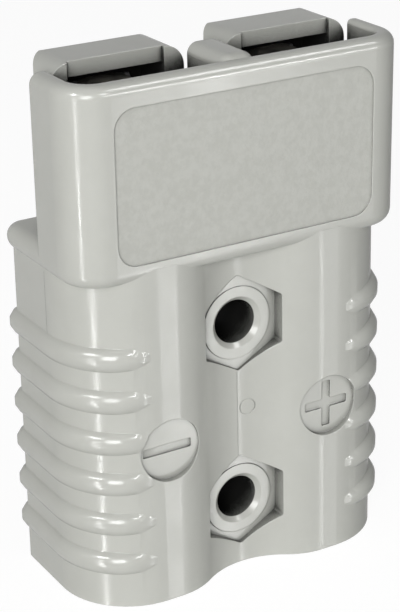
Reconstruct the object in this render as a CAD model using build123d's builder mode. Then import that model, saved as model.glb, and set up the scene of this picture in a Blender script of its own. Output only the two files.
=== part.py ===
from build123d import *
from math import cos, radians, sin
import os

# Frame: Z runs from the cable end (Z = 0, where the connector stands) to the mating end.
# The label side faces -Y. Y = 0 is the plane in which two mated connectors meet.
# A mate is this same part turned half a turn about X, so its hood covers these tongues.

# Outline of the housing, seen along Z
half_width = 27.6
side_step = 0.7
front_reach = 12.1
back_reach = 12.6
back_step = 1.2
hood_corner = 6.1
collar_corner = 2.9
body_back_corner = 2.0
body_half_width = half_width - side_step
body_back = back_reach - back_step

# Heights above the cable end
band_base = 51.3
collar_height = 3.9
mating_depth = 25.05
tongue_lead = 0.55
divider_lead = 0.55
collar_top = band_base + collar_height
hood_top = collar_top + mating_depth
tongue_top = hood_top + tongue_lead
divider_top = hood_top + divider_lead

# Clearances to a mated connector
slide_clearance = 0.4
end_clearance = 0.7
parting_clearance = 0.1
socket_floor = collar_top - tongue_lead - end_clearance

# Hood
hood_wall = 2.8
hood_rim_round = 1.7
hood_mouth_round = 0.7
band_base_round = 2.1
collar_top_round = 1.75
socket_half_width = half_width - hood_wall
socket_front = front_reach - hood_wall
socket_corner = hood_corner - hood_wall

# Divider between the two halves of the socket
divider_half = 2.8
divider_side_round = 1.7
divider_front_round = 2.4

# Tongues, one round each contact
tongue_inner = divider_half + slide_clearance
tongue_outer = socket_half_width - slide_clearance
tongue_back = socket_front - slide_clearance
tongue_top_round = 3.2
tongue_back_round = 4.8
tongue_edge_round = 1.0
tongue_inner_wall = 3.2
tongue_outer_wall = 2.7
tongue_back_wall = 1.8
tongue_top_wall = 2.3
top_wall_recess = 0.6

# Poles: each contact stands on the axis of its cable bore and of its passage in the tongue
cavity_inner = tongue_inner + tongue_inner_wall
cavity_outer = tongue_outer - tongue_outer_wall
pole_x = (cavity_inner + cavity_outer) / 2
cavity_half = (cavity_outer - cavity_inner) / 2
cavity_back = tongue_back - tongue_back_wall
cavity_top = tongue_top - tongue_top_wall

# Lobes round the two cable bores, with a valley between them
lobe_offset = 1.35
lobe_radius = 10.6
lobe_crest = 2.5
valley_depth = 3.8
lobe_draft = 0.6
half_overlap = 1.0
lobe_x = pole_x - lobe_offset
body_front_corner = body_half_width - lobe_x - lobe_crest

# Contacts
bore_wall = 2.7
barrel_wall = 1.7
barrel_y = 0.8
barrel_base = 13.0
barrel_length = 25.0
barrel_floor = 2.0
neck_length = 7.0
blade_side_gap = 1.9
blade_thickness = 2.4
blade_face = 0.2
blade_reach = 1.6
tip_curl = 4.0
tip_corner_share = 0.7
tip_tail = 0.5
contact_clearance = 0.6
barrel_radius = body_back - barrel_y - contact_clearance - bore_wall
blade_half_width = cavity_half - blade_side_gap
tip_corner = tip_corner_share * blade_half_width
barrel_top = barrel_base + barrel_length
blade_base = barrel_top + neck_length
blade_top = cavity_top - blade_reach

# Leaf springs behind the blades
spring_thickness = 0.8
spring_inset = 0.5
spring_half_length = 14.0
spring_seat_gap = 0.1
spring_half_width = blade_half_width - spring_inset

# Cable bores and the passages above them
bore_radius = barrel_radius + contact_clearance
bore_top = blade_base + contact_clearance
bore_chamfer = 1.0
passage_front = contact_clearance - blade_face

# Mounting holes with nut recesses, on the centre line
bolt_radius = 3.4
bolt_first = 10.8
bolt_spacing = 29.2
bolt_chamfer = 0.7
nut_across_flats = 13.2
nut_corner = 0.5
nut_floor = 8.1
nut_ring_radius = 5.7
nut_ring_height = 0.15

# Polarity discs and label panel
disc_radius = 4.9
disc_floor = 11.4
disc_inset = 13.8
disc_z = 24.6
label_side_margin = 6.4
label_base = 54.1
label_height = 22.7
label_corner = 3.2
label_depth = 0.3
disc_x = half_width - disc_inset
label_half_width = half_width - label_side_margin

# Grip ribs
rib_count = 6
rib_first = 7.3
rib_pitch = 6.54
rib_height = 1.1
rib_width = 4.2
rib_depth = 2.6
rib_facets = 12
rib_turn = 48
rib_end = 114
rib_back_turn = 98
rib_back_run = 12.0
rib_half_width = body_half_width + rib_height

cut_over = 1.0


def polar(centre, radius, degrees):
    """A point on a circle, with the angle counted from +X towards +Y."""
    return (centre[0] + radius * cos(radians(degrees)), centre[1] + radius * sin(radians(degrees)))


def lobe_outline(side, crest, corner, inner):
    """Closed outline of the front or back half of the body: shoulders, two lobes and a valley."""
    lobe_centre_y = crest - lobe_radius
    valley = crest - valley_depth
    drop = valley - lobe_centre_y
    valley_radius = (lobe_x**2 + drop**2 - lobe_radius**2) / (2 * (lobe_radius - drop))
    share = valley_radius / (valley_radius + lobe_radius)
    blend_y = valley + valley_radius + share * (lobe_centre_y - valley - valley_radius)
    blend = (share * lobe_x, side * blend_y)
    Line((body_half_width, inner), (body_half_width, side * (crest - corner)))
    TangentArc(
        (body_half_width, side * (crest - corner)),
        (body_half_width - corner, side * crest),
        tangent=(0, side),
    )
    Line((body_half_width - corner, side * crest), (lobe_x, side * crest))
    TangentArc((lobe_x, side * crest), blend, tangent=(-1, 0))
    TangentArc((0, side * valley), blend, tangent=(1, 0))
    mirror(about=Plane.YZ)
    Line((-body_half_width, inner), (body_half_width, inner))


def draft_at(z):
    """How far the crests stand out at a height: the full draft at the cable end, none at the socket."""
    return lobe_draft * (1 - z / socket_floor)


def grip_rib(z):
    """A pair of ribs: beads round the sides, which die out on the front and back of the lobes."""
    core = rib_width / 2
    front_centre = (body_half_width - body_front_corner, body_front_corner - front_reach - draft_at(z))
    front_radius = body_front_corner + rib_height
    rise = sin(radians(rib_turn))
    end_radius = (body_front_corner - front_radius * rise) / (1 - rise)
    end_centre = polar(front_centre, front_radius - end_radius, -rib_turn)
    back_centre = (rib_half_width - collar_corner, back_reach - collar_corner)
    back_start = polar(back_centre, collar_corner - core, rib_back_turn)
    back_tip = polar(back_start, rib_back_run, rib_back_turn + 90)
    with BuildPart() as rib:
        with BuildLine(Plane.XY.offset(z)):
            Line(back_tip, back_start)
            CenterArc(back_centre, collar_corner - core, rib_back_turn, -rib_back_turn)
            Line((rib_half_width - core, back_centre[1]), (rib_half_width - core, front_centre[1]))
            CenterArc(front_centre, front_radius - core, 0, -rib_turn)
            CenterArc(end_centre, end_radius - core, -rib_turn, rib_turn - rib_end)
        outwards = polar((0, 0), 1, rib_back_turn)
        along = polar((0, 0), 1, rib_back_turn - 90)
        with BuildSketch(Plane(origin=(*back_tip, z), x_dir=(*outwards, 0), z_dir=(*along, 0))):
            RegularPolygon(core, rib_facets, major_radius=False, rotation=180 / rib_facets)
            with Locations((core - rib_depth / 2, 0)):
                Rectangle(rib_depth, rib_width, mode=Mode.INTERSECT)
        sweep()
        mirror(about=Plane.YZ)
    return rib.part


def hood_outline(reach, half, corner, end):
    """A closed U: the hood's front wall and its two sides, up to the plane Y = end."""
    FilletPolyline((-half, end), (-half, -reach), (half, -reach), (half, end), radius=corner)
    Line((half, end), (-half, end))


rib_heights = [rib_first + rib_pitch * step for step in range(rib_count)]
ribs = [grip_rib(z) for z in rib_heights]

# Band: the hood's lower edge in front, and the collar that stops a mate's hood behind
with BuildPart() as band:
    with BuildSketch(Plane.XY.offset(band_base)):
        with BuildLine():
            hood_outline(front_reach, half_width, hood_corner, 0)
        make_face()
        with Locations((0, back_reach / 2)):
            Rectangle(2 * half_width, back_reach)
    extrude(amount=collar_height)
    back_corners = band.edges().filter_by(Axis.Z).group_by(Axis.Y)[-1]
    fillet(back_corners, radius=collar_corner)
    fillet(band.edges().group_by(Axis.Z)[0], radius=band_base_round)
    fillet(band.edges().group_by(Axis.Z)[-1], radius=collar_top_round)

# Hood: a wall on three sides, rounded along the outside of its rim and less along its mouth
with BuildPart() as hood:
    with BuildSketch(Plane.XY.offset(band_base + band_base_round)):
        with BuildLine():
            hood_outline(front_reach, half_width, hood_corner, -parting_clearance)
        make_face()
    extrude(amount=hood_top - band_base - band_base_round)
    with BuildSketch(Plane.XY.offset(socket_floor)):
        with BuildLine():
            hood_outline(socket_front, socket_half_width, socket_corner, 0)
        make_face()
    extrude(amount=hood_top, mode=Mode.SUBTRACT)
    rim = hood.edges().group_by(Axis.Z)[-1].filter_by(lambda edge: edge.center().Y < -2 * parting_clearance)
    mouth = rim.filter_by(
        lambda edge: edge.center().Y > -socket_front - 0.1 and abs(edge.center().X) < socket_half_width + 0.1
    )
    outside = rim.filter_by(
        lambda edge: edge.center().Y < -socket_front - 0.1 or abs(edge.center().X) > socket_half_width + 0.1
    )
    fillet(outside, radius=hood_rim_round)
    fillet(mouth, radius=hood_mouth_round)

# Divider: a rib across the socket that enters the gap between a mate's tongues
with BuildPart() as divider:
    with BuildSketch(Plane.XZ.offset(parting_clearance)):
        with Locations((0, (socket_floor + divider_top) / 2)):
            Rectangle(2 * divider_half, divider_top - socket_floor)
    extrude(amount=socket_front + hood_wall / 2 - parting_clearance)
    crown = divider.edges().group_by(Axis.Z)[-1]
    fillet(crown.filter_by(Axis.Y), radius=divider_side_round)
    front_crown = divider.faces().sort_by(Axis.Y)[0].edges().group_by(Axis.Z)[-1]
    fillet(front_crown, radius=divider_front_round)

# Tongue: one hollow block, rounded over the top and round the back
with BuildPart() as tongue:
    with BuildSketch(Plane.XY.offset(socket_floor)):
        with BuildLine():
            FilletPolyline(
                (tongue_inner, parting_clearance),
                (tongue_inner, tongue_back),
                (tongue_outer, tongue_back),
                (tongue_outer, parting_clearance),
                radius=tongue_back_round,
            )
            Line((tongue_inner, parting_clearance), (tongue_outer, parting_clearance))
        make_face()
    extrude(amount=tongue_top - socket_floor)
    with BuildSketch(Plane.XZ):
        with BuildLine():
            FilletPolyline(
                (tongue_inner, socket_floor),
                (tongue_inner, tongue_top),
                (tongue_outer, tongue_top),
                (tongue_outer, socket_floor),
                radius=tongue_top_round,
            )
            Line((tongue_inner, socket_floor), (tongue_outer, socket_floor))
        make_face()
    extrude(amount=-2 * tongue_back, mode=Mode.INTERSECT)
    with BuildSketch(Plane.YZ):
        with BuildLine():
            FilletPolyline((0, tongue_top), (tongue_back, tongue_top), (tongue_back, 0), radius=tongue_edge_round)
            Polyline((tongue_back, 0), (0, 0), (0, tongue_top))
        make_face()
    extrude(amount=2 * tongue_outer, mode=Mode.INTERSECT)

# Body: a front and a back half, whose faces lean outwards towards the cable end. They overlap
# just behind Y = 0, where both have flat sides.
front_half = (-1, front_reach, body_front_corner, 2 * half_overlap)
back_half = (1, body_back, body_back_corner, half_overlap)
with BuildPart() as body:
    for side, crest, corner, inner in (front_half, back_half):
        leaning = Plane(origin=(0, 0, 0), x_dir=(1, 0, 0), z_dir=(0, -side * lobe_draft, socket_floor))
        with BuildSketch(leaning.offset(-cut_over)):
            with BuildLine():
                lobe_outline(side, crest + lobe_draft, corner, inner)
            make_face()
        extrude(amount=socket_floor)
    split(bisect_by=Plane.XY, keep=Keep.TOP)

with BuildPart() as housing:
    add(body.part)
    add(ribs)
    add(band.part)

    # Socket in front of the mating plane, and the gap between the tongues behind it
    with BuildSketch(Plane.XY.offset(socket_floor)):
        with BuildLine():
            hood_outline(socket_front, socket_half_width, socket_corner, parting_clearance)
        make_face()
        with Locations((0, tongue_back / 2)):
            Rectangle(2 * tongue_inner, tongue_back)
    extrude(amount=hood_top, mode=Mode.SUBTRACT)
    add(hood.part)
    add(divider.part)
    add(tongue.part)
    add(mirror(tongue.part, about=Plane.YZ, mode=Mode.PRIVATE))

    # Contact passages, open to the socket along the front of each tongue
    passage_depth = cavity_back + passage_front
    with BuildSketch(Plane.XY.offset(bore_top)):
        with Locations(*[(side * pole_x, (cavity_back - passage_front) / 2) for side in (-1, 1)]):
            Rectangle(2 * cavity_half, passage_depth)
    extrude(amount=cavity_top - bore_top, mode=Mode.SUBTRACT)

    # The front edge of each tongue's top wall stands back from its side walls
    with BuildSketch(Plane.XY.offset(cavity_top - cut_over)):
        with Locations(*[(side * pole_x, parting_clearance) for side in (-1, 1)]):
            Rectangle(2 * cavity_half, 2 * top_wall_recess)
    extrude(amount=tongue_top, mode=Mode.SUBTRACT)

    # Cable bores
    with Locations(*[(side * pole_x, barrel_y) for side in (-1, 1)]):
        Cylinder(bore_radius, bore_top, align=(Align.CENTER, Align.CENTER, Align.MIN), mode=Mode.SUBTRACT)
        Cone(
            bore_radius + bore_chamfer,
            bore_radius,
            bore_chamfer,
            align=(Align.CENTER, Align.CENTER, Align.MIN),
            mode=Mode.SUBTRACT,
        )

    # Nut recesses with their ring, then the holes right through
    bolt_places = [(0, bolt_first + bolt_spacing * step) for step in range(2)]
    with BuildSketch(Plane.XZ.offset(nut_floor)):
        with Locations(*bolt_places):
            nut_recesses = RegularPolygon(nut_across_flats / 2, 6, major_radius=False, rotation=30)
        fillet(nut_recesses.vertices(), radius=nut_corner)
    extrude(amount=front_reach, mode=Mode.SUBTRACT)
    with BuildSketch(Plane.XZ.offset(nut_floor)):
        with Locations(*bolt_places):
            Circle(nut_ring_radius)
    extrude(amount=nut_ring_height)
    with BuildSketch(Plane.XZ):
        with Locations(*bolt_places):
            Circle(bolt_radius)
    extrude(amount=2 * back_reach, both=True, mode=Mode.SUBTRACT)
    hole_rims = housing.edges().filter_by(GeomType.CIRCLE).filter_by(
        lambda edge: edge.radius < bolt_radius + 0.01 and edge.center().Y < -nut_floor
    )
    chamfer(hole_rims, length=bolt_chamfer)

    # Polarity discs and the label panel
    with BuildSketch(Plane.XZ.offset(disc_floor)):
        with Locations((-disc_x, disc_z), (disc_x, disc_z)):
            Circle(disc_radius)
    extrude(amount=front_reach, mode=Mode.SUBTRACT)
    with BuildSketch(Plane.XZ.offset(front_reach - label_depth)):
        with Locations((0, label_base + label_height / 2)):
            RectangleRounded(2 * label_half_width, label_height, label_corner)
    extrude(amount=front_reach, mode=Mode.SUBTRACT)

os.makedirs("parts", exist_ok=True)
housing.part.label = "housing"
export_step(housing.part, "parts/housing.step")

for side, pole in ((-1, "negative"), (1, "positive")):
    x = side * pole_x

    # Blade: a flat strip that widens into the neck, with a tip that curls back under the top wall
    blade_back = blade_face + blade_thickness
    curl_z = blade_top - tip_curl
    tail_y = blade_face + tip_curl + tip_tail
    with BuildPart() as blade:
        with BuildSketch(Plane.YZ.offset(x)):
            with BuildLine():
                Polyline(
                    (blade_back, curl_z),
                    (blade_back, blade_base),
                    (barrel_y + barrel_radius, barrel_top),
                    (barrel_y - barrel_radius, barrel_top),
                    (blade_face, blade_base),
                    (blade_face, curl_z),
                )
                CenterArc((blade_face + tip_curl, curl_z), tip_curl, 180, -90)
                Polyline(
                    (blade_face + tip_curl, blade_top),
                    (tail_y, blade_top),
                    (tail_y, blade_top - blade_thickness),
                    (blade_face + tip_curl, blade_top - blade_thickness),
                )
                CenterArc((blade_face + tip_curl, curl_z), tip_curl - blade_thickness, 90, 90)
            make_face()
        extrude(amount=barrel_radius, both=True)
        with BuildSketch(Plane.XZ):
            with BuildLine():
                FilletPolyline(
                    (x - barrel_radius, barrel_top),
                    (x - blade_half_width, blade_base),
                    (x - blade_half_width, blade_top),
                    (x + blade_half_width, blade_top),
                    (x + blade_half_width, blade_base),
                    (x + barrel_radius, barrel_top),
                    radius=tip_corner,
                )
                Line((x - barrel_radius, barrel_top), (x + barrel_radius, barrel_top))
            make_face()
        extrude(amount=2 * barrel_radius, both=True, mode=Mode.INTERSECT)
        with Locations((x, barrel_y, barrel_top)):
            Cylinder(
                barrel_radius,
                blade_top - barrel_top,
                align=(Align.CENTER, Align.CENTER, Align.MIN),
                mode=Mode.INTERSECT,
            )

    # Contact: the blade on its crimp barrel
    with BuildPart() as contact:
        with Locations((x, barrel_y, barrel_base)):
            Cylinder(barrel_radius, barrel_length, align=(Align.CENTER, Align.CENTER, Align.MIN))
        add(blade.part)
        with Locations((x, barrel_y, barrel_base)):
            Cylinder(
                barrel_radius - barrel_wall,
                barrel_length - barrel_floor,
                align=(Align.CENTER, Align.CENTER, Align.MIN),
                mode=Mode.SUBTRACT,
            )
    contact.part.label = f"contact_{pole}"
    export_step(contact.part, f"parts/contact_{pole}.step")

    # Leaf spring: a bowed strip that pushes the blade forward from the tongue's back wall
    spring_touch = blade_back + spring_seat_gap
    spring_bow = cavity_back - spring_seat_gap - spring_thickness - spring_touch
    spring_radius = (spring_half_length**2 + spring_bow**2) / (2 * spring_bow)
    spring_z = (bore_top + cavity_top) / 2
    with BuildPart() as spring:
        with BuildSketch(Plane.YZ.offset(x)):
            with BuildLine():
                front_arc = ThreePointArc(
                    (spring_touch + spring_bow, spring_z - spring_half_length),
                    (spring_touch, spring_z),
                    (spring_touch + spring_bow, spring_z + spring_half_length),
                )
                back_arc = ThreePointArc(
                    (spring_touch + spring_bow + spring_thickness, spring_z - spring_half_length),
                    (spring_touch + spring_thickness, spring_z),
                    (spring_touch + spring_bow + spring_thickness, spring_z + spring_half_length),
                )
                Line(front_arc @ 0, back_arc @ 0)
                Line(front_arc @ 1, back_arc @ 1)
            make_face()
        extrude(amount=spring_half_width, both=True)
    spring.part.label = f"spring_{pole}"
    export_step(spring.part, f"parts/spring_{pole}.step")
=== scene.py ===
from math import atan, radians

import bmesh
import bpy
from mathutils import Euler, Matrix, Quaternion, Vector
from mathutils.bvhtree import BVHTree
from mathutils.geometry import barycentric_transform


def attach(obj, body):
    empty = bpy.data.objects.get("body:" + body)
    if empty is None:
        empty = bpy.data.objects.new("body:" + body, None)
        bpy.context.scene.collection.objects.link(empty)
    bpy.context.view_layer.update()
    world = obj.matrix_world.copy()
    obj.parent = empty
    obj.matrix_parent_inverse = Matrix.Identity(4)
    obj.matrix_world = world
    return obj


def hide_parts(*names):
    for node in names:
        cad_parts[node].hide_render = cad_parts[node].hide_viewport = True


MM = 0.001

# Camera: it looks at a point on the front of the hood, from the left and from above
AIM = Vector((-8.5, -12.1, 46.0)) * MM
CAMERA_DISTANCE = 258.8 * MM
CAMERA_AZIMUTH = 30.4
CAMERA_ELEVATION = 22.8
CAMERA_ROLL = -1.1
CAMERA_LENS = 107.3
CAMERA_NEAR_LIMIT = 0.01

# The band that the grip ribs fill, and the cosine of the turn that still counts as one rounded surface
RIB_INNER_END = 17.6 * MM
RIB_BASE = 5.0 * MM
RIB_TOP = 42.4 * MM
LOW_EDGE = 0.84

# Polarity signs, engraved in the floors of the discs
DISC_X = 13.8 * MM
DISC_FLOOR_Y = -11.4 * MM
DISC_Z = 24.6 * MM
SIGN_DEPTH = 0.45 * MM
SIGN_EDGE = 0.2 * MM
MINUS_SHIFT = 0.3 * MM
MINUS_LENGTH = 8.0 * MM
MINUS_WIDTH = 1.4 * MM
PLUS_LENGTH = 7.5 * MM
PLUS_WIDTH = 1.45 * MM
SIDEWAYS = [(1, 0, 0), (-1, 0, 0)]
UPRIGHT = [(0, 0, 1), (0, 0, -1)]

# Label panel
PANEL_FLOOR_Y = -11.8 * MM
PANEL_HALF_WIDTH = 21.2 * MM
PANEL_BASE = 54.1 * MM
PANEL_TOP = 76.8 * MM

# Fine marks of the mould: the valley's floor leans back by one part in MOULD_LEAN
MOULD_LEAN = 90
EJECTOR_MIDDLE = Vector((1.4, -8.72, 26.2)) * MM
EJECTOR_RADIUS = 1.25 * MM
EJECTOR_GROOVE = 0.1 * MM
EJECTOR_TURN = -6.4
VALLEY_LINE_MIDDLE = Vector((-0.3, -8.62, 25.3)) * MM
VALLEY_LINE_LENGTH = 13.8 * MM
PARTING_LINE_X = 26.9 * MM
PARTING_LINE_Z = 46.6 * MM
PARTING_LINE_LENGTH = 9.4 * MM
LINE_WIDTH = 0.08 * MM
LINE_DEPTH = 0.03 * MM

# Points nearer than SAME_PLACE are one. Directions whose cosine is above SAME_FACE are one face's. A corner
# is looked up slightly inside its face, by the share CORNER_INSET of the way to the middle
SAME_PLACE = 0.002 * MM
SAME_FACE = 0.9
CORNER_INSET = 0.05

# Finish and painted light: each START is where an effect sets in, and each FULL where it is complete. Clouds
# go by the noise, edges (paled as wear and as a painted highlight) by the cosine of their turn, and holes and
# corners (painted shade) by how open they are
CLOUD_START = 0.35
CLOUD_FULL = 0.65
EDGE_START = 0.99
EDGE_FULL = 0.8
EDGE_WEAR_AND_HIGHLIGHT = 0.6
HOLE_START = 0.52
HOLE_FULL = 0.3
CORNER_START = 0.82
CORNER_FULL = 0.4
CORNER_REACH = 3.0 * MM
CORNER_DEPTH = 0.45
# Colour of the painted shade in holes and corners, and the shine kept in open places and in holes
DARKNESS = (0.004, 0.004, 0.004, 1)
GLOSS = 0.5
GLOSS_IN_HOLES = 0.02

# Studio: the floor as the camera sees it, and the sky as soft light, as shine, and as shine at the sides
FLOOR_SIZE = 8
FLOOR_WHITE_SHARE = 0.85
FLOOR_WHITE = 1.08
SKY_LIGHT = 0.17
SKY_SHINE = 0.62
SKY_SIDE_SHINE = 0.2
SKY_SIDE_START = 0.55

# Lamps: azimuth and elevation in degrees, width, height and power. Azimuth 0 is in front of the label, and
# minus is to the left. They stand LAMP_DISTANCE from the camera's aim
LAMP_DISTANCE = 1.0
SOFT_LAMPS = {
    "key": (-38, 18, 0.45, 0.45, 7.5),
    "side": (-85, 20, 0.4, 0.4, 0.4),
    "top": (-10, 76, 0.5, 0.5, 0.72),
}
# These show only as highlights: upright lines on the lobes, spots on the ribs, and the shine of rims and tops
SHINE_LAMPS = {
    "left_strip": (-67, -12, 0.045, 1.1, 3.4),
    "right_strip": (31, -12, 0.03, 1.1, 1.7),
    "left_spot": (-73, 36, 0.25, 0.06, 3.2),
    "right_spot": (9, 36, 0.25, 0.06, 2.4),
    "rim_shine": (28, 14, 0.6, 0.05, 3.0),
    "top_shine": (50, 52, 0.4, 0.2, 2.5),
}


def nothing_selected():
    bpy.ops.object.select_all(action="DESELECT")


def make_active(piece):
    nothing_selected()
    piece.select_set(True)
    bpy.context.view_layer.objects.active = piece


def finish_piece(piece, material):
    """Gives a piece its finish and its body, with its place kept in its mesh."""
    make_active(piece)
    bpy.ops.object.transform_apply(location=True, rotation=True, scale=True)
    piece.data.materials.clear()
    piece.data.materials.append(material)
    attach(piece, "root")


def select_faces(piece, chosen):
    """In edit mode, selects just the faces for which chosen(face) is true."""
    bpy.ops.mesh.select_mode(type="FACE")
    bpy.ops.mesh.select_all(action="DESELECT")
    mesh = bmesh.from_edit_mesh(piece.data)
    for face in mesh.faces:
        face.select_set(chosen(face))
    bmesh.update_edit_mesh(piece.data)


def apply_modifier(piece, kind, **settings):
    make_active(piece)
    modifier = piece.modifiers.new(kind.title(), kind)
    for name, value in settings.items():
        setattr(modifier, name, value)
    bpy.ops.object.modifier_apply(modifier=modifier.name)


# Shader node groups


def new_group(name, inputs, outputs):
    """A shader node group with its sockets, and its input and output nodes."""
    group = bpy.data.node_groups.new(name, "ShaderNodeTree")
    for label, kind, value in inputs:
        socket = group.interface.new_socket(label, in_out="INPUT", socket_type=kind)
        socket.default_value = value
    for label, kind in outputs:
        group.interface.new_socket(label, in_out="OUTPUT", socket_type=kind)
    return group, group.nodes.new("NodeGroupInput"), group.nodes.new("NodeGroupOutput")


def add_node(tree, kind, inputs=None, **settings):
    """A node with its settings. An input is a value or another node's output socket."""
    node = tree.nodes.new(kind)
    for name, value in settings.items():
        setattr(node, name, value)
    for name, value in (inputs or {}).items():
        if isinstance(value, bpy.types.NodeSocket):
            tree.links.new(value, node.inputs[name])
        else:
            node.inputs[name].default_value = value
    return node


def add_math(tree, operation, *values):
    """The result of a sum on values or output sockets."""
    return add_node(tree, "ShaderNodeMath", dict(enumerate(values)), operation=operation).outputs[0]


def add_mix(tree, share, first, second):
    """A colour that goes from the first to the second as the share goes from 0 to 1."""
    mix = add_node(tree, "ShaderNodeMix", {"Factor": share, "A": first, "B": second}, data_type="RGBA")
    return mix.outputs["Result"]


def add_range(tree, value, start, end, low=0.0, high=1.0, kind="LINEAR"):
    """Goes from low to high as the value goes from start to end."""
    inputs = {"Value": value, "From Min": start, "From Max": end, "To Min": low, "To Max": high}
    return add_node(tree, "ShaderNodeMapRange", inputs, interpolation_type=kind).outputs["Result"]


def add_noise(tree, scale, **details):
    """Soft noise that is fixed to the object."""
    place = add_node(tree, "ShaderNodeTexCoord")
    inputs = {"Vector": place.outputs["Object"], "Scale": scale, **details}
    return add_node(tree, "ShaderNodeTexNoise", inputs).outputs["Fac"]


def cloudy_tint():
    """Slow, blotchy change of a colour and of a roughness, as in a moulded or plated surface."""
    group, given, result = new_group(
        "cloudy_tint",
        [
            ("Color", "NodeSocketColor", (0.5, 0.5, 0.5, 1)),
            ("Shade", "NodeSocketColor", (0.4, 0.4, 0.4, 1)),
            ("Scale", "NodeSocketFloat", 100.0),
            ("Amount", "NodeSocketFloat", 0.3),
            ("Roughness", "NodeSocketFloat", 0.4),
            ("Spread", "NodeSocketFloat", 0.1),
        ],
        [("Color", "NodeSocketColor"), ("Roughness", "NodeSocketFloat")],
    )
    clouds = add_noise(group, given.outputs["Scale"], Detail=4.0, Roughness=0.6)
    spread = add_range(group, clouds, CLOUD_START, CLOUD_FULL, kind="SMOOTHSTEP")
    share = add_math(group, "MULTIPLY", spread, given.outputs["Amount"])
    tint = add_mix(group, share, given.outputs["Color"], given.outputs["Shade"])
    rough = add_math(group, "MULTIPLY_ADD", spread, given.outputs["Spread"], given.outputs["Roughness"])
    group.links.new(tint, result.inputs["Color"])
    group.links.new(rough, result.inputs["Roughness"])
    return group


def soft_edges():
    """Small radius on every edge, and a mask of the edges for wear and for a painted highlight."""
    group, given, result = new_group(
        "soft_edges",
        [("Radius", "NodeSocketFloat", 0.0003)],
        [("Normal", "NodeSocketVector"), ("Edge", "NodeSocketFloat")],
    )
    rounded = add_node(group, "ShaderNodeBevel", {"Radius": given.outputs["Radius"]}, samples=8)
    surface = add_node(group, "ShaderNodeNewGeometry")
    along = add_node(
        group,
        "ShaderNodeVectorMath",
        {0: rounded.outputs["Normal"], 1: surface.outputs["Normal"]},
        operation="DOT_PRODUCT",
    )
    edge = add_range(group, along.outputs["Value"], EDGE_START, EDGE_FULL, kind="SMOOTHSTEP")
    group.links.new(rounded.outputs["Normal"], result.inputs["Normal"])
    group.links.new(edge, result.inputs["Edge"])
    return group


def fine_grain():
    """Height of a fine grain laid over a slower ripple."""
    group, given, result = new_group(
        "fine_grain",
        [
            ("Grain Scale", "NodeSocketFloat", 4000.0),
            ("Ripple Scale", "NodeSocketFloat", 250.0),
            ("Ripple", "NodeSocketFloat", 0.5),
        ],
        [("Height", "NodeSocketFloat")],
    )
    grain = add_noise(group, given.outputs["Grain Scale"], Detail=3.0)
    ripple = add_noise(group, given.outputs["Ripple Scale"], Detail=2.0)
    height = add_math(group, "MULTIPLY_ADD", ripple, given.outputs["Ripple"], grain)
    group.links.new(height, result.inputs["Height"])
    return group


def add_openness(tree, reach, samples):
    """How open a point is to the space around it, from 0 to 1, within a reach."""
    sky = add_node(tree, "ShaderNodeAmbientOcclusion", {"Distance": reach}, samples=samples, only_local=True)
    return sky.outputs["AO"]


def deep_shade():
    """Painted shade: a colour that goes dark and dull in deep holes, and somewhat darker in narrow corners.
    """
    group, given, result = new_group(
        "deep_shade",
        [
            ("Color", "NodeSocketColor", (0.5, 0.5, 0.5, 1)),
            ("Reach", "NodeSocketFloat", 0.03),
            ("Depth", "NodeSocketFloat", 0.9),
        ],
        [("Color", "NodeSocketColor"), ("Specular", "NodeSocketFloat")],
    )
    around = add_openness(group, given.outputs["Reach"], samples=12)
    near = add_openness(group, CORNER_REACH, samples=8)
    hole = add_range(group, around, HOLE_START, HOLE_FULL, high=given.outputs["Depth"], kind="SMOOTHSTEP")
    corner = add_range(group, near, CORNER_START, CORNER_FULL, high=CORNER_DEPTH)
    most = add_math(group, "MAXIMUM", hole, corner)
    shaded = add_mix(group, most, given.outputs["Color"], DARKNESS)
    gloss = add_range(group, hole, 0, 1, low=GLOSS, high=GLOSS_IN_HOLES)
    group.links.new(shaded, result.inputs["Color"])
    group.links.new(gloss, result.inputs["Specular"])
    return group


TINT = cloudy_tint()
EDGES = soft_edges()
GRAIN = fine_grain()
SHADE = deep_shade()


def new_material(name):
    material = bpy.data.materials.new(name)
    material.use_nodes = True
    return material, material.node_tree, material.node_tree.nodes["Principled BSDF"]


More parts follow.
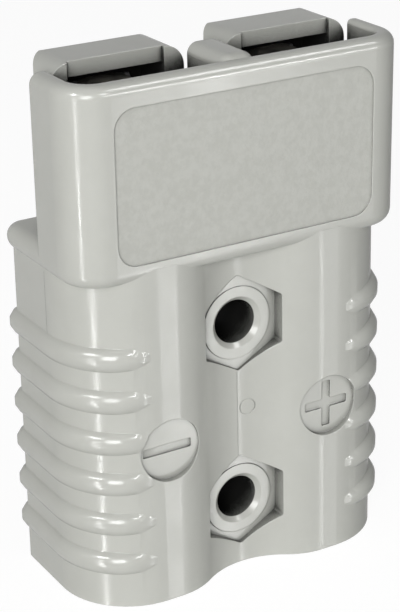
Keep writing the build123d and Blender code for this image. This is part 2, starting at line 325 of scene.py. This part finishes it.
def moulded_plastic(name, color, shade, cloud_scale, roughness, grain_depth, grain_scale, edge_wear_and_highlight_color):
    """Grey moulded plastic: faintly cloudy, with a fine grain, paler edges (wear and a painted highlight) and
    painted shade in holes.
    """
    material, tree, shader = new_material(name)
    tint = add_node(
        tree,
        "ShaderNodeGroup",
        {
            "Color": (*color, 1),
            "Shade": (*shade, 1),
            "Scale": cloud_scale,
            "Amount": 0.5,
            "Roughness": roughness,
            "Spread": 0.08,
        },
        node_tree=TINT,
    )
    edges = add_node(tree, "ShaderNodeGroup", {"Radius": 0.22 * MM}, node_tree=EDGES)
    # Paler edges: partly wear, partly a painted highlight on the rims
    wear_and_highlight_share = add_math(tree, "MULTIPLY", edges.outputs["Edge"], EDGE_WEAR_AND_HIGHLIGHT)
    worn_and_highlighted = add_mix(tree, wear_and_highlight_share, tint.outputs["Color"], (*edge_wear_and_highlight_color, 1))
    grain = add_node(
        tree,
        "ShaderNodeGroup",
        {"Grain Scale": grain_scale, "Ripple Scale": 220.0, "Ripple": 0.6},
        node_tree=GRAIN,
    )
    bump = add_node(
        tree,
        "ShaderNodeBump",
        {
            "Strength": 0.5,
            "Distance": grain_depth,
            "Height": grain.outputs["Height"],
            "Normal": edges.outputs["Normal"],
        },
    )
    # Painted shade: darker and duller in holes and narrow corners
    shaded = add_node(
        tree,
        "ShaderNodeGroup",
        {"Color": worn_and_highlighted, "Reach": 30 * MM, "Depth": 0.985},
        node_tree=SHADE,
    )
    tree.links.new(shaded.outputs["Color"], shader.inputs["Base Color"])
    tree.links.new(shaded.outputs["Specular"], shader.inputs["Specular IOR Level"])
    tree.links.new(tint.outputs["Roughness"], shader.inputs["Roughness"])
    tree.links.new(bump.outputs["Normal"], shader.inputs["Normal"])
    shader.inputs["IOR"].default_value = 1.5
    return material


def plated_metal(name, color, shade, roughness, edge_radius):
    """Metal with a cloudy skin that darkens in blotches, rounded edges, and painted shade in holes."""
    material, tree, shader = new_material(name)
    tint = add_node(
        tree,
        "ShaderNodeGroup",
        {
            "Color": (*color, 1),
            "Shade": (*shade, 1),
            "Scale": 300.0,
            "Amount": 0.8,
            "Roughness": roughness,
            "Spread": 0.2,
        },
        node_tree=TINT,
    )
    edges = add_node(tree, "ShaderNodeGroup", {"Radius": edge_radius}, node_tree=EDGES)
    grain = add_node(
        tree,
        "ShaderNodeGroup",
        {"Grain Scale": 3000.0, "Ripple Scale": 400.0, "Ripple": 0.5},
        node_tree=GRAIN,
    )
    bump = add_node(
        tree,
        "ShaderNodeBump",
        {
            "Strength": 0.3,
            "Distance": 0.02 * MM,
            "Height": grain.outputs["Height"],
            "Normal": edges.outputs["Normal"],
        },
    )
    # Painted shade in holes
    shaded = add_node(
        tree,
        "ShaderNodeGroup",
        {"Color": tint.outputs["Color"], "Reach": 15 * MM, "Depth": 0.7},
        node_tree=SHADE,
    )
    tree.links.new(shaded.outputs["Color"], shader.inputs["Base Color"])
    tree.links.new(tint.outputs["Roughness"], shader.inputs["Roughness"])
    tree.links.new(bump.outputs["Normal"], shader.inputs["Normal"])
    shader.inputs["Metallic"].default_value = 1.0
    return material


# Housing


def merged_copy(node, name):
    """A copy of a fixed node's mesh with its triangles joined up."""
    piece = bpy.data.objects.new(name, node.data.copy())
    bpy.context.scene.collection.objects.link(piece)
    make_active(piece)
    bpy.ops.object.mode_set(mode="EDIT")
    bpy.ops.mesh.select_all(action="SELECT")
    bpy.ops.mesh.remove_doubles(threshold=SAME_PLACE)
    bpy.ops.object.mode_set(mode="OBJECT")
    return piece


def rounded_ribs(piece, normals):
    """Lets the light run round the grip ribs, over the low edges between their strips."""
    corners_at = {}
    for corner in piece.data.loops:
        place = piece.data.vertices[corner.vertex_index].co
        if abs(place.x) > RIB_INNER_END and RIB_BASE < place.z < RIB_TOP:
            corners_at.setdefault(corner.vertex_index, []).append(corner.index)
    rounded = list(normals)
    for corners in corners_at.values():
        for corner in corners:
            near = {
                tuple(round(part, 3) for part in normals[other])
                for other in corners
                if normals[other].dot(normals[corner]) > LOW_EDGE
            }
            rounded[corner] = sum((Vector(normal) for normal in near), Vector()).normalized()
    return rounded


def carry_normals(piece, node):
    """Gives a cut copy the smooth normals of the node that it came from, and flat ones on the new cuts."""
    source = node.data
    corners = [vertex.co for vertex in source.vertices]
    tree = BVHTree.FromPolygons(corners, [face.vertices for face in source.polygons])
    normals = []
    for face in piece.data.polygons:
        for index in face.vertices:
            place = piece.data.vertices[index].co
            _, normal, found, _ = tree.find_nearest(place.lerp(face.center, CORNER_INSET))
            if normal.dot(face.normal) < SAME_FACE:
                normals.append(face.normal.copy())
                continue
            under = source.polygons[found]
            triangle = [corners[vertex] for vertex in under.vertices]
            slopes = [source.corner_normals[loop].vector for loop in under.loop_indices]
            normals.append(barycentric_transform(place, *triangle, *slopes).normalized())
    piece.data.normals_split_custom_set(rounded_ribs(piece, normals))


def sign_cutter(name, x, length, width, directions):
    """Arms that grow out of a square block, which goes down to the sign's depth in the disc's floor."""
    bpy.ops.mesh.primitive_cube_add(size=1, location=(x, DISC_FLOOR_Y, DISC_Z))
    cutter = bpy.context.object
    cutter.name = name
    cutter.dimensions = (width, 2 * SIGN_DEPTH, width)
    make_active(cutter)
    bpy.ops.object.transform_apply(location=True, rotation=True, scale=True)
    bpy.ops.object.mode_set(mode="EDIT")
    for direction in directions:
        select_faces(cutter, lambda face: is_arm_end(face, Vector(direction), x, width / 4))
        growth = Vector(direction) * (length - width) / 2
        bpy.ops.mesh.extrude_region_move(TRANSFORM_OT_translate={"value": growth})
    bpy.ops.object.mode_set(mode="OBJECT")
    apply_modifier(cutter, "BEVEL", width=SIGN_EDGE, segments=2, limit_method="ANGLE")
    return cutter


def is_arm_end(face, direction, x, reach):
    """True for a cutter's face that looks along a direction and lies on its middle line."""
    middle = face.calc_center_median() - Vector((x, DISC_FLOOR_Y, DISC_Z))
    return face.normal.dot(direction) > SAME_FACE and middle.cross(direction).length < reach


def ejector_cutter():
    """A thin ring that lies along the valley's floor and cuts a fine circle into it."""
    bpy.ops.mesh.primitive_torus_add(
        major_radius=EJECTOR_RADIUS,
        minor_radius=EJECTOR_GROOVE,
        major_segments=40,
        minor_segments=8,
        location=EJECTOR_MIDDLE,
        rotation=(radians(90) - atan(1 / MOULD_LEAN), 0, radians(EJECTOR_TURN)),
    )
    cutter = bpy.context.object
    cutter.name = "ejector_mark"
    return cutter


def line_cutter(name, middle, length, lean, turn):
    """A thin upright blade for a mould line, leaning back and then turned about Z."""
    bpy.ops.mesh.primitive_cube_add(size=1, location=middle, rotation=(lean, 0, turn))
    cutter = bpy.context.object
    cutter.name = name
    cutter.dimensions = (LINE_WIDTH, 2 * LINE_DEPTH, length)
    return cutter


def cut(piece, cutter):
    apply_modifier(piece, "BOOLEAN", operation="DIFFERENCE", solver="EXACT", object=cutter)
    bpy.data.objects.remove(cutter)


def on_label_panel(face):
    middle = face.calc_center_median()
    return (
        abs(middle.y - PANEL_FLOOR_Y) < SAME_PLACE
        and abs(middle.x) < PANEL_HALF_WIDTH
        and PANEL_BASE < middle.z < PANEL_TOP
    )


def housing_moulding(plastic, panel):
    """The housing with its engraved signs and mould marks, and a grained label panel."""
    piece = merged_copy(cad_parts["housing"], "housing_moulding")
    lean = -atan(1 / MOULD_LEAN)
    cut(piece, sign_cutter("minus_sign", -DISC_X - MINUS_SHIFT, MINUS_LENGTH, MINUS_WIDTH, SIDEWAYS))
    cut(piece, sign_cutter("plus_sign", DISC_X, PLUS_LENGTH, PLUS_WIDTH, SIDEWAYS + UPRIGHT))
    cut(piece, ejector_cutter())
    cut(piece, line_cutter("valley_line", VALLEY_LINE_MIDDLE, VALLEY_LINE_LENGTH, lean, 0))
    for side in (-1, 1):
        middle = (side * PARTING_LINE_X, 0, PARTING_LINE_Z)
        cut(piece, line_cutter("parting_line", middle, PARTING_LINE_LENGTH, 0, radians(90)))
    finish_piece(piece, plastic)
    piece.data.materials.append(panel)
    make_active(piece)
    bpy.ops.object.mode_set(mode="EDIT")
    select_faces(piece, on_label_panel)
    piece.active_material_index = 1
    bpy.ops.object.material_slot_assign()
    bpy.ops.object.mode_set(mode="OBJECT")
    bpy.ops.object.shade_smooth()
    carry_normals(piece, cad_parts["housing"])
    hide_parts("housing")


def dress_metal(nodes, material):
    for name in nodes:
        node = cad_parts[name]
        node.data.materials.clear()
        node.data.materials.append(material)


# Studio


def studio_floor():
    """A floor that is nearly white to the camera, and that lets the low lamps through to the object."""
    bpy.ops.mesh.primitive_plane_add(size=FLOOR_SIZE)
    floor = bpy.context.object
    floor.name = "studio_floor"
    material, tree, shader = new_material("pale_floor")
    shader.inputs["Base Color"].default_value = (0.85, 0.85, 0.85, 1)
    shader.inputs["Roughness"].default_value = 0.9
    shader.inputs["Specular IOR Level"].default_value = 0.1
    rays = add_node(tree, "ShaderNodeLightPath")
    share = add_math(tree, "MULTIPLY", rays.outputs["Is Camera Ray"], FLOOR_WHITE_SHARE)
    white = add_node(tree, "ShaderNodeEmission", {"Strength": FLOOR_WHITE})
    mix = add_node(tree, "ShaderNodeMixShader", {0: share, 1: shader.outputs[0], 2: white.outputs[0]})
    tree.links.new(mix.outputs[0], tree.nodes["Material Output"].inputs["Surface"])
    floor.data.materials.append(material)
    floor.visible_glossy = False
    floor.visible_shadow = False


def pale_world():
    """A white sky: soft light only from above the floor, and a shine that fades to the left and right."""
    world = bpy.data.worlds.new("studio")
    bpy.context.scene.world = world
    world.use_nodes = True
    tree = world.node_tree
    rays = add_node(tree, "ShaderNodeLightPath")
    place = add_node(tree, "ShaderNodeTexCoord")
    direction = add_node(tree, "ShaderNodeSeparateXYZ", {"Vector": place.outputs["Generated"]})
    above_floor = add_math(tree, "GREATER_THAN", direction.outputs["Z"], 0)
    light = add_math(tree, "MULTIPLY", above_floor, SKY_LIGHT)
    sideways = add_math(tree, "ABSOLUTE", direction.outputs["X"])
    shine = add_range(tree, sideways, SKY_SIDE_START, 1, low=SKY_SHINE, high=SKY_SIDE_SHINE)
    strength = add_range(tree, rays.outputs["Is Glossy Ray"], 0, 1, low=light, high=shine)
    background = tree.nodes["Background"]
    background.inputs["Color"].default_value = (1, 1, 1, 1)
    tree.links.new(strength, background.inputs["Strength"])


def area_lamp(name, azimuth, elevation, width, height, power, only_shines=False):
    """A flat lamp that faces the object."""
    turn = Euler((radians(90 - elevation), 0, radians(azimuth)))
    data = bpy.data.lights.new(name, "AREA")
    data.shape = "RECTANGLE"
    data.size = width
    data.size_y = height
    data.energy = power
    lamp = bpy.data.objects.new(name, data)
    lamp.rotation_euler = turn
    lamp.location = AIM + turn.to_matrix() @ Vector((0, 0, LAMP_DISTANCE))
    lamp.visible_diffuse = not only_shines
    bpy.context.scene.collection.objects.link(lamp)


def photo_camera():
    data = bpy.data.cameras.new("photo_view")
    data.lens = CAMERA_LENS
    data.clip_start = CAMERA_NEAR_LIMIT
    view = bpy.data.objects.new("photo_view", data)
    look = Euler((radians(90 - CAMERA_ELEVATION), 0, -radians(CAMERA_AZIMUTH))).to_quaternion()
    roll = Quaternion((0, 0, 1), radians(CAMERA_ROLL))
    view.rotation_euler = (look @ roll).to_euler()
    view.location = AIM + look @ Vector((0, 0, CAMERA_DISTANCE))
    bpy.context.scene.collection.objects.link(view)
    bpy.context.scene.camera = view


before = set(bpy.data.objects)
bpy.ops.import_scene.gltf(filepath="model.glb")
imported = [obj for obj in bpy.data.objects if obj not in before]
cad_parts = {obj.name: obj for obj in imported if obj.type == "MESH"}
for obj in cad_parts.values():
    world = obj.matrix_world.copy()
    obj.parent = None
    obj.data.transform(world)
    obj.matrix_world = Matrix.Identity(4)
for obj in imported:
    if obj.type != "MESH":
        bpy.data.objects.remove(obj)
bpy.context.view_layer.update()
nothing_selected()

grey_plastic = moulded_plastic(
    "grey_plastic",
    color=(0.55, 0.555, 0.515),
    shade=(0.52, 0.525, 0.485),
    cloud_scale=160.0,
    roughness=0.15,
    grain_depth=0.015 * MM,
    grain_scale=3500.0,
    edge_wear_and_highlight_color=(0.72, 0.72, 0.68),
)
panel_plastic = moulded_plastic(
    "panel_plastic",
    color=(0.53, 0.535, 0.495),
    shade=(0.46, 0.465, 0.425),
    cloud_scale=900.0,
    roughness=0.5,
    grain_depth=0.12 * MM,
    grain_scale=1500.0,
    edge_wear_and_highlight_color=(0.72, 0.72, 0.68),
)
# The silver is darker than bright plating: partly tarnish, partly painted shade, as the contacts sit in
# shadow inside the tongues
silver_plate = plated_metal(
    "silver_plate", color=(0.62, 0.60, 0.55), shade=(0.42, 0.40, 0.35), roughness=0.3, edge_radius=0.3 * MM
)
spring_steel = plated_metal(
    "spring_steel", color=(0.50, 0.50, 0.50), shade=(0.35, 0.35, 0.36), roughness=0.3, edge_radius=0.1 * MM
)

housing_moulding(grey_plastic, panel_plastic)
dress_metal(("contact_negative", "contact_positive"), silver_plate)
dress_metal(("spring_negative", "spring_positive"), spring_steel)

studio_floor()
pale_world()
for name, lamp in SOFT_LAMPS.items():
    area_lamp(name, *lamp)
for name, lamp in SHINE_LAMPS.items():
    area_lamp(name, *lamp, only_shines=True)
photo_camera()
bpy.context.scene.view_settings.view_transform = "Standard"
